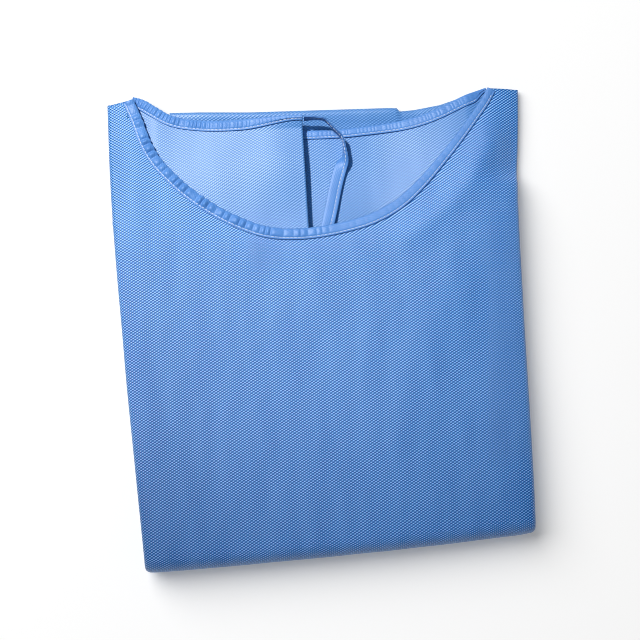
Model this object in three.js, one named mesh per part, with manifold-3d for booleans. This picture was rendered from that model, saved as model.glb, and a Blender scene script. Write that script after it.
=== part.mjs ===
// Folded surgical gown of dot-embossed non-woven cloth, lying front up on z = 0.
// The neck points to +Y; left (-X) and right (+X) are as seen from above. Millimetres.
import * as THREE from "three";
import Module from "manifold-3d";

const FRONT_WALL = 1.2;
const BACK_WALL = 1.0;
const TAPE_WALL = 0.9;
const SEAM_GAP = 0.3;

// The stack: the gown is folded to a flat plank, and the plank is doubled over at the skirt end.
const STACK_HEIGHT = 26;
const FOLD_DEPTH = 10;
const SIDE_RETURN = 6;
const MID_Y = 50;
const SOUTH_LEFT = { x: -140, y: -176 };
const SOUTH_RIGHT = { x: 141, y: -164.3 };
const SOUTH_BOW = -1.4;
const UNDERSIDE_END = { left: 74, right: 90 };

// Side folds from above, by station along the length: outline, radius of the rolled fold, and how
// far and over what width the cloth falls away before it rolls under.
const SIDES = [
  { y: -176, left: -140.4, right: 141.4, rollLeft: 4.5, rollRight: 4.5,
    fallLeft: 1.2, fallRight: 1.2, slopeLeft: 10, slopeRight: 10 },
  { y: -115, left: -143.5, right: 143.0, rollLeft: 4.5, rollRight: 4.5,
    fallLeft: 1.2, fallRight: 1.2, slopeLeft: 10, slopeRight: 10 },
  { y: -50, left: -146.8, right: 143.9, rollLeft: 4.5, rollRight: 4.5,
    fallLeft: 1.2, fallRight: 1.2, slopeLeft: 10, slopeRight: 10 },
  { y: 16, left: -149.3, right: 144.8, rollLeft: 4.5, rollRight: 4.5,
    fallLeft: 1.2, fallRight: 1.2, slopeLeft: 10, slopeRight: 10 },
  { y: 60, left: -151.0, right: 145.6, rollLeft: 4.5, rollRight: 4.5,
    fallLeft: 1.2, fallRight: 1.2, slopeLeft: 10, slopeRight: 10 },
  { y: 78, left: -151.9, right: 146.2, rollLeft: 4.5, rollRight: 4.5,
    fallLeft: 2.0, fallRight: 1.2, slopeLeft: 16, slopeRight: 10 },
  { y: 91, left: -152.3, right: 146.9, rollLeft: 4.4, rollRight: 4.3,
    fallLeft: 2.5, fallRight: 2.2, slopeLeft: 18, slopeRight: 14 },
  { y: 103, left: -152.6, right: 147.8, rollLeft: 4.2, rollRight: 3.0,
    fallLeft: 2.5, fallRight: 7.6, slopeLeft: 18, slopeRight: 24 },
  { y: 118, left: -152.8, right: 149.4, rollLeft: 4.0, rollRight: 2.6,
    fallLeft: 2.5, fallRight: 8.0, slopeLeft: 18, slopeRight: 24 },
  { y: 150, left: -152.8, right: 152.0, rollLeft: 3.7, rollRight: 2.4,
    fallLeft: 1.8, fallRight: 5.4, slopeLeft: 16, slopeRight: 20 },
  { y: 178, left: -152.7, right: 153.4, rollLeft: 3.5, rollRight: 2.3,
    fallLeft: 0.8, fallRight: 2.6, slopeLeft: 14, slopeRight: 14 },
];

// Height of the front panel along its middle, from the full stack down to the neck end.
const CREST = [
  { y: -180, z: 26 }, { y: -60, z: 26 }, { y: 38, z: 26 }, { y: 60, z: 25.2 }, { y: 80, z: 22.8 },
  { y: 100, z: 19.6 }, { y: 120, z: 16.4 }, { y: 140, z: 13.2 }, { y: 160, z: 10.2 },
  { y: 178, z: 8.6 },
];

// Stitch line of the front neck, left shoulder to right shoulder.
const FRONT_STITCH = [
  { x: -140.6, y: 169.8 }, { x: -135.5, y: 156.6 }, { x: -129.0, y: 136.2 },
  { x: -121.7, y: 122.4 }, { x: -111.0, y: 109.9 }, { x: -99.1, y: 98.6 }, { x: -80.6, y: 84.7 },
  { x: -61.0, y: 72.3 }, { x: -40.0, y: 63.2 }, { x: -17.0, y: 60.1 }, { x: 8.0, y: 62.0 },
  { x: 35.3, y: 68.1 }, { x: 51.5, y: 75.1 }, { x: 64.3, y: 82.9 }, { x: 79.8, y: 95.8 },
  { x: 95.6, y: 112.2 }, { x: 108.0, y: 126.0 }, { x: 119.2, y: 140.0 }, { x: 129.3, y: 153.0 },
  { x: 135.2, y: 162.6 },
];

// Neck edges of the back panels, from each shoulder to the centre-back edge.
const LEFT_NECK = [
  { x: -133.6, y: 174.5 }, { x: -126.0, y: 171.6 }, { x: -117.2, y: 165.4 },
  { x: -108.0, y: 159.2 }, { x: -100.0, y: 155.9 }, { x: -86.7, y: 153.1 }, { x: -73.3, y: 151.5 },
  { x: -55.4, y: 151.0 }, { x: -37.4, y: 151.2 }, { x: -16.7, y: 151.4 }, { x: -8.4, y: 150.9 },
];
const RIGHT_NECK = [
  { x: 129.0, y: 166.0 }, { x: 113.8, y: 161.0 }, { x: 103.8, y: 156.8 }, { x: 93.9, y: 152.5 },
  { x: 79.6, y: 147.7 }, { x: 65.1, y: 143.8 }, { x: 50.6, y: 141.7 }, { x: 36.4, y: 140.4 },
  { x: 22.1, y: 139.4 }, { x: -3.4, y: 139.6 }, { x: -30.0, y: 141.0 },
];
const BACK_END_Y = 46;
const LEFT_LIFT = 6;
const LEFT_SHOULDER = [{ x: -146.6, y: 167.4 }, { x: -140.4, y: 170.6 }];
const LEFT_SIDE_X = -146;
const LEFT_FREE_X = -8.6;
const RIGHT_SHOULDER = [{ x: 135.4, y: 163.2 }, { x: 141.6, y: 162.2 }];
const RIGHT_SIDE_X = 141;
const RIGHT_FREE_X = -30;
const BACK_DEPTH = 3.0;
const RIGHT_LAP = 4.7;
const RIGHT_LAP_SLOPE = 0.088;
const CORNER_SINK = 2.4;
const TIE_LEAN = 62;

// Binding: folded tape that wraps each neck edge, with puckers drawn up by its stitching.
const BAND = 9;
const TAPE_TOP = 7.1;
const TAPE_NARROW = 5.4;
const TAPE_UNDER = 6.2;
const PUCKER_HEIGHT = 0.45;

// Neck tie: its centre line from the root, and how far the strip leans up from flat, in degrees.
const TIE_WIDTH = 9;
const TIE_WALL = 1.6;
const TIE_ROUTE = [
  { x: -6.9, y: 150.2, z: 18.6, lean: 68 }, { x: 0.2, y: 149.0, z: 19.0, lean: 80 },
  { x: 7.6, y: 147.6, z: 19.0, lean: 86 }, { x: 9.4, y: 146.2, z: 18.8, lean: 88 },
  { x: 14.6, y: 140.4, z: 17.8, lean: 86 }, { x: 19.8, y: 134.4, z: 16.8, lean: 82 },
  { x: 20.9, y: 127.2, z: 16.2, lean: 62 }, { x: 20.0, y: 119.6, z: 15.6, lean: 30 },
  { x: 17.4, y: 112.2, z: 15.2, lean: 8 }, { x: 13.4, y: 99.2, z: 15.6, lean: 0 },
  { x: 9.1, y: 82.6, z: 17.4, lean: 0 }, { x: 5.6, y: 70.0, z: 19.2, lean: 0 },
  { x: 2.4, y: 59.0, z: 20.0, lean: 0 }, { x: -0.2, y: 50.0, z: 20.2, lean: 0 },
];

// Sleeves folded flat behind the back: outline of the pad from the side, measured back from its
// north fold, and where that fold runs.
const SLEEVE_SECTION = [
  { back: 0, z: 3.0 }, { back: 0.6, z: 4.7 }, { back: 2.6, z: 5.7 }, { back: 7, z: 4.6 },
  { back: 12.5, z: 2.2 }, { back: 26, z: 2.4 }, { back: 38, z: 5.0 }, { back: 51, z: 6.2 },
  { back: 52, z: 0.5 }, { back: 26, z: 0.5 }, { back: 3, z: 0.5 }, { back: 0.6, z: 1.4 },
];
const SLEEVE_FOLD = [
  { x: -107, y: 160.6, tall: 0.75 }, { x: -84, y: 159.6, tall: 1 }, { x: -47, y: 157.6, tall: 1 },
  { x: -10, y: 156.9, tall: 1 }, { x: 37, y: 155.8, tall: 1 }, { x: 56, y: 155.3, tall: 1 },
  { x: 62, y: 154.8, tall: 0.95 }, { x: 64, y: 152.6, tall: 0.75 }, { x: 75, y: 153.3, tall: 0.7 },
  { x: 94, y: 156.2, tall: 0.7 }, { x: 104, y: 159.3, tall: 0.7 }, { x: 114, y: 162.6, tall: 0.6 },
];

// Hidden layers between the two halves of the doubled plank.
const FILL_BOTTOM = 9.4;
const FILL_LAYERS = 2;
const FILL_LAYER = 3.0;
const FILL_INSET = 4;
const FILL_NOTCH = 1.6;
const HEART = { halfWidth: 118, south: -148, north: 32, bottom: 6, top: 20 };

const { clamp, lerp, smoothstep } = THREE.MathUtils;
const HALF_STACK = STACK_HEIGHT / 2;

// Value of one column of a table at station y, with smooth slopes between its rows.
function read(rows, column, y) {
  let i = 0;
  while (i < rows.length - 2 && y > rows[i + 1].y) i += 1;
  const slope = (k) => {
    const before = rows[Math.max(k - 1, 0)];
    const after = rows[Math.min(k + 1, rows.length - 1)];
    return (after[column] - before[column]) / (after.y - before.y);
  };
  const a = rows[i];
  const b = rows[i + 1];
  const span = b.y - a.y;
  const t = clamp((y - a.y) / span, 0, 1);
  const rise = t * t * (3 - 2 * t);
  const leave = t * (1 - t) * (1 - t) * span * slope(i);
  const arrive = t * t * (t - 1) * span * slope(i + 1);
  return a[column] + (b[column] - a[column]) * rise + leave + arrive;
}

function leftLine(y) {
  return read(SIDES, "left", y) + read(SIDES, "rollLeft", y);
}

function rightLine(y) {
  return read(SIDES, "right", y) - read(SIDES, "rollRight", y);
}

// Outer face of the front panel, also carried on over the neck opening.
function height(x, y) {
  const fromLeft = clamp((x - leftLine(y)) / read(SIDES, "slopeLeft", y), 0, 1);
  const fromRight = clamp((rightLine(y) - x) / read(SIDES, "slopeRight", y), 0, 1);
  const fallLeft = read(SIDES, "fallLeft", y) * (1 - fromLeft) ** 2;
  const fallRight = read(SIDES, "fallRight", y) * (1 - fromRight) ** 2;
  return read(CREST, "z", y) - fallLeft - fallRight;
}

// Where the skirt end starts to turn under.
function foldLine(x) {
  const t = (x - SOUTH_LEFT.x) / (SOUTH_RIGHT.x - SOUTH_LEFT.x);
  const bow = SOUTH_BOW * 4 * t * (1 - t);
  return lerp(SOUTH_LEFT.y, SOUTH_RIGHT.y, t) + bow + FOLD_DEPTH;
}

function undersideEnd(x) {
  const t = (x - SOUTH_LEFT.x) / (SOUTH_RIGHT.x - SOUTH_LEFT.x);
  return lerp(UNDERSIDE_END.left, UNDERSIDE_END.right, t);
}

// A point of the plank: depth is measured inward from the face, at is the x whose height counts.
function onTop(x, y, depth, at) {
  return new THREE.Vector3(x, y, height(at, y) - depth);
}

function onFold(turn, x, depth, at) {
  const south = foldLine(at);
  const fall = STACK_HEIGHT - height(at, south);
  const inside = depth + fall * (1 + Math.cos(turn)) / 2;
  const reach = FOLD_DEPTH * (1 - inside / HALF_STACK);
  const z = HALF_STACK + (HALF_STACK - inside) * Math.cos(turn);
  return new THREE.Vector3(x, south - reach * Math.sin(turn), z);
}

function onUnderside(share, x, depth, at) {
  return new THREE.Vector3(x, lerp(foldLine(at), undersideEnd(at), share), depth);
}

function geometryOf(points, faces) {
  const geometry = new THREE.BufferGeometry();
  geometry.setAttribute("position", new THREE.Float32BufferAttribute(
    points.flatMap((p) => [p.x, p.y, p.z]), 3));
  geometry.setIndex(faces.flat());
  geometry.computeVertexNormals();
  return geometry;
}

// Outward unit normals of a grid whose rows run down the cloth and whose columns run across it.
function gridNormals(grid) {
  const rows = grid.length;
  const columns = grid[0].length;
  return grid.map((row, r) => row.map((_, c) => {
    const down = grid[Math.min(r + 1, rows - 1)][c].clone().sub(grid[Math.max(r - 1, 0)][c]);
    const over = row[Math.min(c + 1, columns - 1)].clone().sub(row[Math.max(c - 1, 0)]);
    return down.cross(over).normalize();
  }));
}

// Cloth: a grid of outer points and the same points moved in by the wall, closed along the rims.
function clothWall(grid, wall) {
  const normals = gridNormals(grid);
  const rows = grid.length;
  const columns = grid[0].length;
  const outer = (r, c) => r * columns + c;
  const inner = (r, c) => rows * columns + outer(r, c);
  const inside = grid.flatMap((row, r) => row.map((p, c) => (
    p.clone().addScaledVector(normals[r][c], -wall))));
  const faces = [];
  const quad = (a, b, c, d) => faces.push([a, b, c], [a, c, d]);
  for (let r = 0; r < rows - 1; r += 1) {
    for (let c = 0; c < columns - 1; c += 1) {
      quad(outer(r, c), outer(r + 1, c), outer(r + 1, c + 1), outer(r, c + 1));
      quad(inner(r, c), inner(r, c + 1), inner(r + 1, c + 1), inner(r + 1, c));
    }
    const last = columns - 1;
    quad(outer(r, 0), inner(r, 0), inner(r + 1, 0), outer(r + 1, 0));
    quad(outer(r, last), outer(r + 1, last), inner(r + 1, last), inner(r, last));
  }
  for (let c = 0; c < columns - 1; c += 1) {
    const last = rows - 1;
    quad(outer(0, c), outer(0, c + 1), inner(0, c + 1), inner(0, c));
    quad(outer(last, c), inner(last, c), inner(last, c + 1), outer(last, c + 1));
  }
  return geometryOf([...grid.flat(), ...inside], faces);
}

// Closed solid through rings of equal count. The ends are closed by triangles of the flat outline
// that the rings were made from, or by a fan where the ring bulges everywhere.
function loft(rings, outline) {
  const count = rings[0].length;
  const points = rings.flat();
  const faces = [];
  const fan = Array.from({ length: count - 2 }, (_, i) => [0, i + 1, i + 2]);
  const flat = outline && outline.map(([x, y]) => new THREE.Vector2(x, y));
  const cap = flat ? THREE.ShapeUtils.triangulateShape(flat, []) : fan;
  for (let r = 0; r < rings.length - 1; r += 1) {
    for (let i = 0; i < count; i += 1) {
      const next = (i + 1) % count;
      const a = r * count + i;
      const b = r * count + next;
      faces.push([a, b, b + count], [a, b + count, a + count]);
    }
  }
  const end = (rings.length - 1) * count;
  faces.push(...cap.map(([a, b, c]) => [a, c, b]));
  faces.push(...cap.map(([a, b, c]) => [end + a, end + b, end + c]));
  const volume = faces.reduce((sum, [a, b, c]) => (
    sum + points[a].dot(points[b].clone().cross(points[c]))), 0);
  return geometryOf(points, volume > 0 ? faces : faces.map(([a, b, c]) => [a, c, b]));
}

const solids = await Module();
solids.setup();

function joined(geometries) {
  const parts = geometries.map((g) => new solids.Manifold(new solids.Mesh({
    numProp: 3,
    vertProperties: new Float32Array(g.getAttribute("position").array),
    triVerts: new Uint32Array(g.index.array),
  })));
  const mesh = solids.Manifold.union(parts).getMesh();
  const geometry = new THREE.BufferGeometry();
  geometry.setAttribute("position", new THREE.BufferAttribute(mesh.vertProperties, 3));
  geometry.setIndex([...mesh.triVerts]);
  geometry.computeVertexNormals();
  return geometry;
}

// Plan curve through a table, with the unit direction into the panel at each sample.
function planCurve(rows, samples, side) {
  const curve = new THREE.CatmullRomCurve3(rows.map((p) => new THREE.Vector3(p.x, p.y, 0)));
  return Array.from({ length: samples + 1 }, (_, i) => {
    const point = curve.getPointAt(i / samples);
    const along = curve.getTangentAt(i / samples);
    return { x: point.x, y: point.y, inX: along.y * side, inY: -along.x * side };
  });
}

const gown = new THREE.Group();
gown.name = "surgical_gown";

function add(name, geometry, colour, roughness) {
  const material = new THREE.MeshStandardMaterial({ color: colour, roughness, metalness: 0 });
  material.name = `${name}_cloth`;
  const mesh = new THREE.Mesh(geometry, material);
  mesh.name = name;
  gown.add(mesh);
}

// Front panel: from the neck edge and shoulders down, round the skirt fold and back underneath.
const ROLL_STEPS = 6;
const NECK_STEPS = 24;

function panelRow(middle, put, rollLeft, rollRight) {
  const first = middle[0];
  const last = middle.at(-1);
  const turns = Array.from({ length: ROLL_STEPS }, (_, i) => Math.PI * (i + 1) / ROLL_STEPS);
  const left = turns.map((turn) => put(
    first.x - rollLeft * Math.sin(turn), first.y, rollLeft * (1 - Math.cos(turn)), first.x));
  const right = turns.map((turn) => put(
    last.x + rollRight * Math.sin(turn), last.y, rollRight * (1 - Math.cos(turn)), last.x));
  return [
    put(first.x + SIDE_RETURN, first.y, 2 * rollLeft, first.x),
    ...left.reverse(),
    ...middle.map((p) => put(p.x, p.y, 0, p.x)),
    ...right,
    put(last.x - SIDE_RETURN, last.y, 2 * rollRight, last.x),
  ];
}

function topRow(middle) {
  return panelRow(middle, onTop, read(SIDES, "rollLeft", middle[0].y),
    read(SIDES, "rollRight", middle.at(-1).y));
}

const stitch = planCurve(FRONT_STITCH, NECK_STEPS, 1);
const tapeWidth = stitch.map((p) => lerp(TAPE_TOP, TAPE_NARROW, smoothstep(p.x, 50, 120)));
const neckEdge = stitch.map((p, i) => (
  { x: p.x - p.inX * tapeWidth[i], y: p.y - p.inY * tapeWidth[i], inX: p.inX, inY: p.inY }));
neckEdge[0] = { ...neckEdge[0], inX: -0.565, inY: -0.825 };
neckEdge[NECK_STEPS] = { ...neckEdge[NECK_STEPS], inX: 0.486, inY: -0.874 };
const leftTop = { x: leftLine(169.6), y: 169.6, inX: 0, inY: -1 };
const rightTop = { x: rightLine(163.8), y: 163.8, inX: 0, inY: -1 };
const between = (a, b, t) => (
  { x: lerp(a.x, b.x, t), y: lerp(a.y, b.y, t), inX: 0, inY: -1 });
const topEdge = [
  leftTop, between(leftTop, neckEdge[0], 0.5), ...neckEdge,
  between(neckEdge.at(-1), rightTop, 0.35), between(neckEdge.at(-1), rightTop, 0.7), rightTop,
];
const bandEdge = topEdge.map((p) => ({ x: p.x + p.inX * BAND, y: p.y + p.inY * BAND }));
bandEdge[0].x = leftLine(bandEdge[0].y);
bandEdge[1].x = lerp(bandEdge[0].x, bandEdge[2].x, 0.5);
bandEdge.at(-1).x = rightLine(bandEdge.at(-1).y);
const fractions = topEdge.map((p) => (p.x - leftTop.x) / (rightTop.x - leftTop.x));

// A straight run across the plank at one share of the way from the middle to the skirt fold.
function skirtRun(share, shares) {
  const leftY = lerp(MID_Y, foldLine(SOUTH_LEFT.x), share);
  const rightY = lerp(MID_Y, foldLine(SOUTH_RIGHT.x), share);
  return shares.map((f) => {
    const x = lerp(leftLine(leftY), rightLine(rightY), f);
    return { x, y: lerp(MID_Y, foldLine(x), share) };
  });
}

function undersideRun(share, shares) {
  const leftY = lerp(foldLine(SOUTH_LEFT.x), UNDERSIDE_END.left, share);
  const rightY = lerp(foldLine(SOUTH_RIGHT.x), UNDERSIDE_END.right, share);
  return shares.map((f) => ({ x: lerp(leftLine(leftY), rightLine(rightY), f), y: 0 }));
}

const NECK_ROWS = 7;
const SKIRT_ROWS = 6;
const FOLD_ROWS = 8;
const UNDER_ROWS = 4;
const frontGrid = [topRow(topEdge), topRow(bandEdge)];
const middleRun = skirtRun(0, fractions);
for (let i = 1; i <= NECK_ROWS; i += 1) {
  const t = i / NECK_ROWS;
  const run = bandEdge.map((p, k) => (
    { x: lerp(p.x, middleRun[k].x, t), y: lerp(p.y, middleRun[k].y, t) }));
  run[0].x = leftLine(run[0].y);
  run.at(-1).x = rightLine(run.at(-1).y);
  frontGrid.push(topRow(run));
}
for (let i = 1; i <= SKIRT_ROWS; i += 1) frontGrid.push(topRow(skirtRun(i / SKIRT_ROWS, fractions)));
const SOUTH_ROLL = read(SIDES, "rollLeft", SOUTH_LEFT.y);
for (let i = 1; i <= FOLD_ROWS; i += 1) {
  const turn = Math.PI * i / FOLD_ROWS;
  const put = (x, y, depth, at) => onFold(turn, x, depth, at);
  frontGrid.push(panelRow(skirtRun(1, fractions), put, SOUTH_ROLL, SOUTH_ROLL));
}
for (let i = 1; i <= UNDER_ROWS; i += 1) {
  const share = i / UNDER_ROWS;
  const put = (x, y, depth, at) => onUnderside(share, x, depth, at);
  frontGrid.push(panelRow(undersideRun(share, fractions), put, SOUTH_ROLL, SOUTH_ROLL));
}
add("front_panel", clothWall(frontGrid, FRONT_WALL), "#6f9fdc", 0.85);

// Back panels: seen through the neck, they run down under the front. The left one laps over the
// right one, and its edge at the root of the tie leans up.
function backLeft(x, y) {
  const lift = LEFT_LIFT * smoothstep(x, -112, -20) * smoothstep(y, 76, 152);
  const corner = smoothstep(-x, 116, 134) * (1 - smoothstep(-x, 135, 144));
  return height(x, y) - BACK_DEPTH + lift - CORNER_SINK * corner;
}

function backRight(x, y) {
  const deepest = RIGHT_LAP + RIGHT_LAP_SLOPE * (140 - y);
  const lap = deepest * (1 - smoothstep(x, 36, 116));
  const corner = smoothstep(x, 112, 128) * (1 - smoothstep(x, 131, 140));
  return height(x, y) - BACK_DEPTH - lap - CORNER_SINK * corner;
}

const BACK_ROWS = 6;

function backGrid(edge, face, lean, sideX, freeX) {
  const first = edge[0].x;
  const last = edge.at(-1).x;
  const rows = [0, BAND / 2, BAND].map((run) => edge.map((p) => {
    const tilt = lean(p.x);
    const x = p.x + p.inX * run * Math.cos(tilt);
    const y = p.y + p.inY * run * Math.cos(tilt);
    return new THREE.Vector3(x, y, face(x, y) + (BAND - run) * Math.sin(tilt));
  }));
  for (let i = 1; i <= BACK_ROWS; i += 1) {
    rows.push(rows[2].map((p, k) => {
      const endX = lerp(sideX, freeX, (edge[k].x - first) / (last - first));
      const x = lerp(p.x, endX, i / BACK_ROWS);
      const y = lerp(p.y, BACK_END_Y, i / BACK_ROWS);
      return new THREE.Vector3(x, y, face(x, y));
    }));
  }
  return rows;
}

const LEFT_STEPS = 30;
const RIGHT_STEPS = 20;
const shoulder = (rows) => rows.map((p) => ({ ...p, inX: 0, inY: -1 }));
const leftNeck = planCurve(LEFT_NECK, LEFT_STEPS, 1);
const leftEdge = [...shoulder(LEFT_SHOULDER), ...leftNeck];
const leftLean = (x) => TIE_LEAN * Math.PI / 180 * smoothstep(x, -80, -8);
const leftGrid = backGrid(leftEdge, backLeft, leftLean, LEFT_SIDE_X, LEFT_FREE_X);
add("back_panel_left", clothWall(leftGrid, BACK_WALL), "#86b0e9", 0.85);

const rightNeck = planCurve(RIGHT_NECK, RIGHT_STEPS, -1).reverse();
const rightEdge = [...rightNeck, ...shoulder(RIGHT_SHOULDER)];
const rightGrid = backGrid(rightEdge, backRight, () => 0, RIGHT_FREE_X, RIGHT_SIDE_X);
add("back_panel_right", clothWall(rightGrid, BACK_WALL), "#88b0e5", 0.85);

// A binding wraps the first row of a panel's grid: a top leg, a rounded nose and an under leg.
function binding(grid, from, to, wall, steps, widths, pucker) {
  const normals = gridNormals(grid);
  const outside = SEAM_GAP + TAPE_WALL;
  const sections = [];
  let outline;
  const count = (to - from) * steps;
  for (let i = 0; i <= count; i += 1) {
    const c = Math.min(from + Math.floor(i / steps), to - 1);
    const t = (i - (c - from) * steps) / steps;
    const edge = grid[0][c].clone().lerp(grid[0][c + 1], t);
    const inward = grid[1][c].clone().lerp(grid[1][c + 1], t).sub(edge).normalize();
    const up = normals[0][c].clone().lerp(normals[0][c + 1], t);
    up.addScaledVector(inward, -up.dot(inward)).normalize();
    const top = lerp(widths[c - from], widths[c - from + 1], t);
    const under = Math.min(top, TAPE_UNDER);
    const gather = pucker(i, i / count);
    const profile = [
      [top, SEAM_GAP], [top, outside], [top / 2, outside + gather], [0, outside + gather / 2],
      [-outside, -wall / 2], [0, -wall - outside], [under, -wall - outside],
      [under, -wall - SEAM_GAP], [-SEAM_GAP, -wall - SEAM_GAP], [-SEAM_GAP, SEAM_GAP],
    ];
    outline = profile;
    sections.push(profile.map(([run, rise]) => (
      edge.clone().addScaledVector(inward, run).addScaledVector(up, rise))));
  }
  return loft(sections, outline);
}

// Puckers stand up on every other section, and are strongest where the share lies near a peak.
const gathers = (peak, spread) => (i, share) => (
  i % 2 * PUCKER_HEIGHT * (0.35 + 0.65 * (1 - smoothstep(Math.abs(share - peak), 0, spread))));

const NECK_FIRST = ROLL_STEPS + 3;
const frontBinding = binding(frontGrid, NECK_FIRST, NECK_FIRST + NECK_STEPS, FRONT_WALL, 4,
  tapeWidth, gathers(0.25, 0.45));
add("neck_binding_front", frontBinding, "#78a6e6", 0.8);

const leftWidths = leftNeck.map((p) => lerp(2.0, TAPE_TOP, smoothstep(p.x, -134, -128)));
const leftBinding = binding(leftGrid, LEFT_SHOULDER.length, LEFT_SHOULDER.length + LEFT_STEPS,
  BACK_WALL, 2, leftWidths, gathers(0.4, 0.4));
add("neck_binding_back_left", leftBinding, "#a0c3f0", 0.8);

const rightWidths = rightNeck.map((p) => lerp(TAPE_TOP, 2.0, smoothstep(p.x, 116, 128)));
const rightBinding = binding(rightGrid, 0, RIGHT_STEPS, BACK_WALL, 3, rightWidths, gathers(0.7, 0.5));
add("neck_binding_back_right", rightBinding, "#9cc0ee", 0.8);

// Neck tie: the left binding runs on as a strip that stands on edge, then turns over and lies down.
const route = new THREE.CatmullRomCurve3(TIE_ROUTE.map((p) => new THREE.Vector3(p.x, p.y, p.z)));
const TIE_STEPS = 30;
const tieSections = Array.from({ length: TIE_STEPS + 1 }, (_, i) => {
  const t = i / TIE_STEPS;
  const place = t * (TIE_ROUTE.length - 1);
  const k = Math.min(Math.floor(place), TIE_ROUTE.length - 2);
  const lean = lerp(TIE_ROUTE[k].lean, TIE_ROUTE[k + 1].lean, place - k) * Math.PI / 180;
  const middle = route.getPoint(t);
  const along = route.getTangent(t).setZ(0).normalize();
  const across = new THREE.Vector3(along.y * -Math.cos(lean), along.x * Math.cos(lean),
    Math.sin(lean));
  const face = across.clone().cross(along).normalize();
  const half = TIE_WIDTH / 2;
  const thin = TIE_WALL / 2;
  const profile = [
    [-half, -thin / 2], [-half + 0.6, -thin], [half - 0.6, -thin], [half, -thin / 2],
    [half, thin / 2], [half - 0.6, thin], [-half + 0.6, thin], [-half, thin / 2],
  ];
  return profile.map(([run, rise]) => (
    middle.clone().addScaledVector(across, run).addScaledVector(face, rise)));
});
add("neck_tie", loft(tieSections), "#7ca7e4", 0.8);

// Sleeves folded flat behind the back, with their fold toward the neck end.
const sleeveSections = SLEEVE_FOLD.map(({ x, y, tall }) => (
  SLEEVE_SECTION.map((p) => new THREE.Vector3(x, y - p.back, p.z * tall))));
add("sleeve_fold", loft(sleeveSections), "#a2c4f2", 0.85);

// Hidden layers: a flat plank doubled at the skirt end, with two more layers laid in between.
const CORE_GAP = FRONT_WALL + 0.6;
const CORE_NORTH = 42;
const CORE_SHARES = Array.from({ length: 9 }, (_, i) => i / 8);

function coreRing(middle, put, roll, squeeze) {
  const first = middle[0];
  const last = middle.at(-1);
  const radius = (roll - CORE_GAP) * squeeze;
  const depthAt = (turn) => roll - radius * Math.cos(turn);
  const turns = [0.25, 0.5, 0.75, 1].map((t) => t * Math.PI);
  return [
    ...middle.map((p) => put(p.x, p.y, depthAt(0), p.x)),
    ...turns.map((t) => put(last.x + radius * Math.sin(t), last.y, depthAt(t), last.x)),
    ...middle.slice(1, -1).reverse().map((p) => put(p.x, p.y, depthAt(Math.PI), p.x)),
    ...turns.reverse().map((t) => (
      put(first.x - radius * Math.sin(t), first.y, depthAt(t), first.x))),
  ];
}

const coreStart = (MID_Y - CORE_NORTH) / (MID_Y - foldLine(0));
const coreRings = [0, 0.012, 0.2, 0.5, 0.75, 1].map((t) => coreRing(
  skirtRun(lerp(coreStart, 1, t), CORE_SHARES), onTop, SOUTH_ROLL, t === 0 ? 0.5 : 1));
for (let i = 1; i <= FOLD_ROWS; i += 1) {
  const turn = Math.PI * i / FOLD_ROWS;
  const put = (x, y, depth, at) => onFold(turn, x, depth, at);
  coreRings.push(coreRing(skirtRun(1, CORE_SHARES), put, SOUTH_ROLL, 1));
}
const CORE_END = [
  { share: 0.33, squeeze: 1 }, { share: 0.66, squeeze: 1 }, { share: 1.015, squeeze: 1 },
  { share: 1.023, squeeze: 0.85 }, { share: 1.028, squeeze: 0.55 },
];
for (const { share, squeeze } of CORE_END) {
  const put = (x, y, depth, at) => onUnderside(share, x, depth, at);
  coreRings.push(coreRing(undersideRun(share, CORE_SHARES), put, SOUTH_ROLL, squeeze));
}

// One level of the layers laid in between: the outline set in by a given amount.
function fillRing(inset, z) {
  const corner = 7;
  const north = BACK_END_Y - 2 + FILL_INSET - inset;
  const ring = [];
  const steps = 12;
  for (let i = 0; i <= steps; i += 1) {
    const y = lerp(foldLine(SOUTH_RIGHT.x) + 2 + inset, north, i / steps);
    const round = Math.max(0, i - steps + 1, 1 - i) * corner;
    ring.push(new THREE.Vector3(read(SIDES, "right", y) - inset - round, y, z));
  }
  for (let i = steps; i >= 0; i -= 1) {
    const y = lerp(foldLine(SOUTH_LEFT.x) + 2 + inset, north, i / steps);
    const round = Math.max(0, i - steps + 1, 1 - i) * corner;
    ring.push(new THREE.Vector3(read(SIDES, "left", y) + inset + round, y, z));
  }
  return ring;
}

const fillRings = [];
for (let layer = 0; layer < FILL_LAYERS; layer += 1) {
  const base = FILL_BOTTOM + layer * FILL_LAYER;
  const inset = FILL_INSET + 1.5 * layer;
  fillRings.push(fillRing(inset + FILL_NOTCH, base + 0.05));
  fillRings.push(fillRing(inset + FILL_NOTCH / 4, base + FILL_LAYER * 0.22));
  fillRings.push(fillRing(inset, base + FILL_LAYER * 0.5));
  fillRings.push(fillRing(inset + FILL_NOTCH / 4, base + FILL_LAYER * 0.78));
}
fillRings.push(fillRing(FILL_INSET + 1.5 * FILL_LAYERS, FILL_BOTTOM + FILL_LAYERS * FILL_LAYER));
const heart = loft([HEART.bottom, HEART.top].map((z) => [
  new THREE.Vector3(-HEART.halfWidth, HEART.south, z),
  new THREE.Vector3(HEART.halfWidth, HEART.south, z),
  new THREE.Vector3(HEART.halfWidth, HEART.north, z),
  new THREE.Vector3(-HEART.halfWidth, HEART.north, z),
]));
add("folded_layers", joined([loft(coreRings), loft(fillRings), heart]), "#7ea9e2", 0.88);

export default gown;
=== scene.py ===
import math

import bpy
import numpy as np
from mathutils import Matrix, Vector, noise


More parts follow.
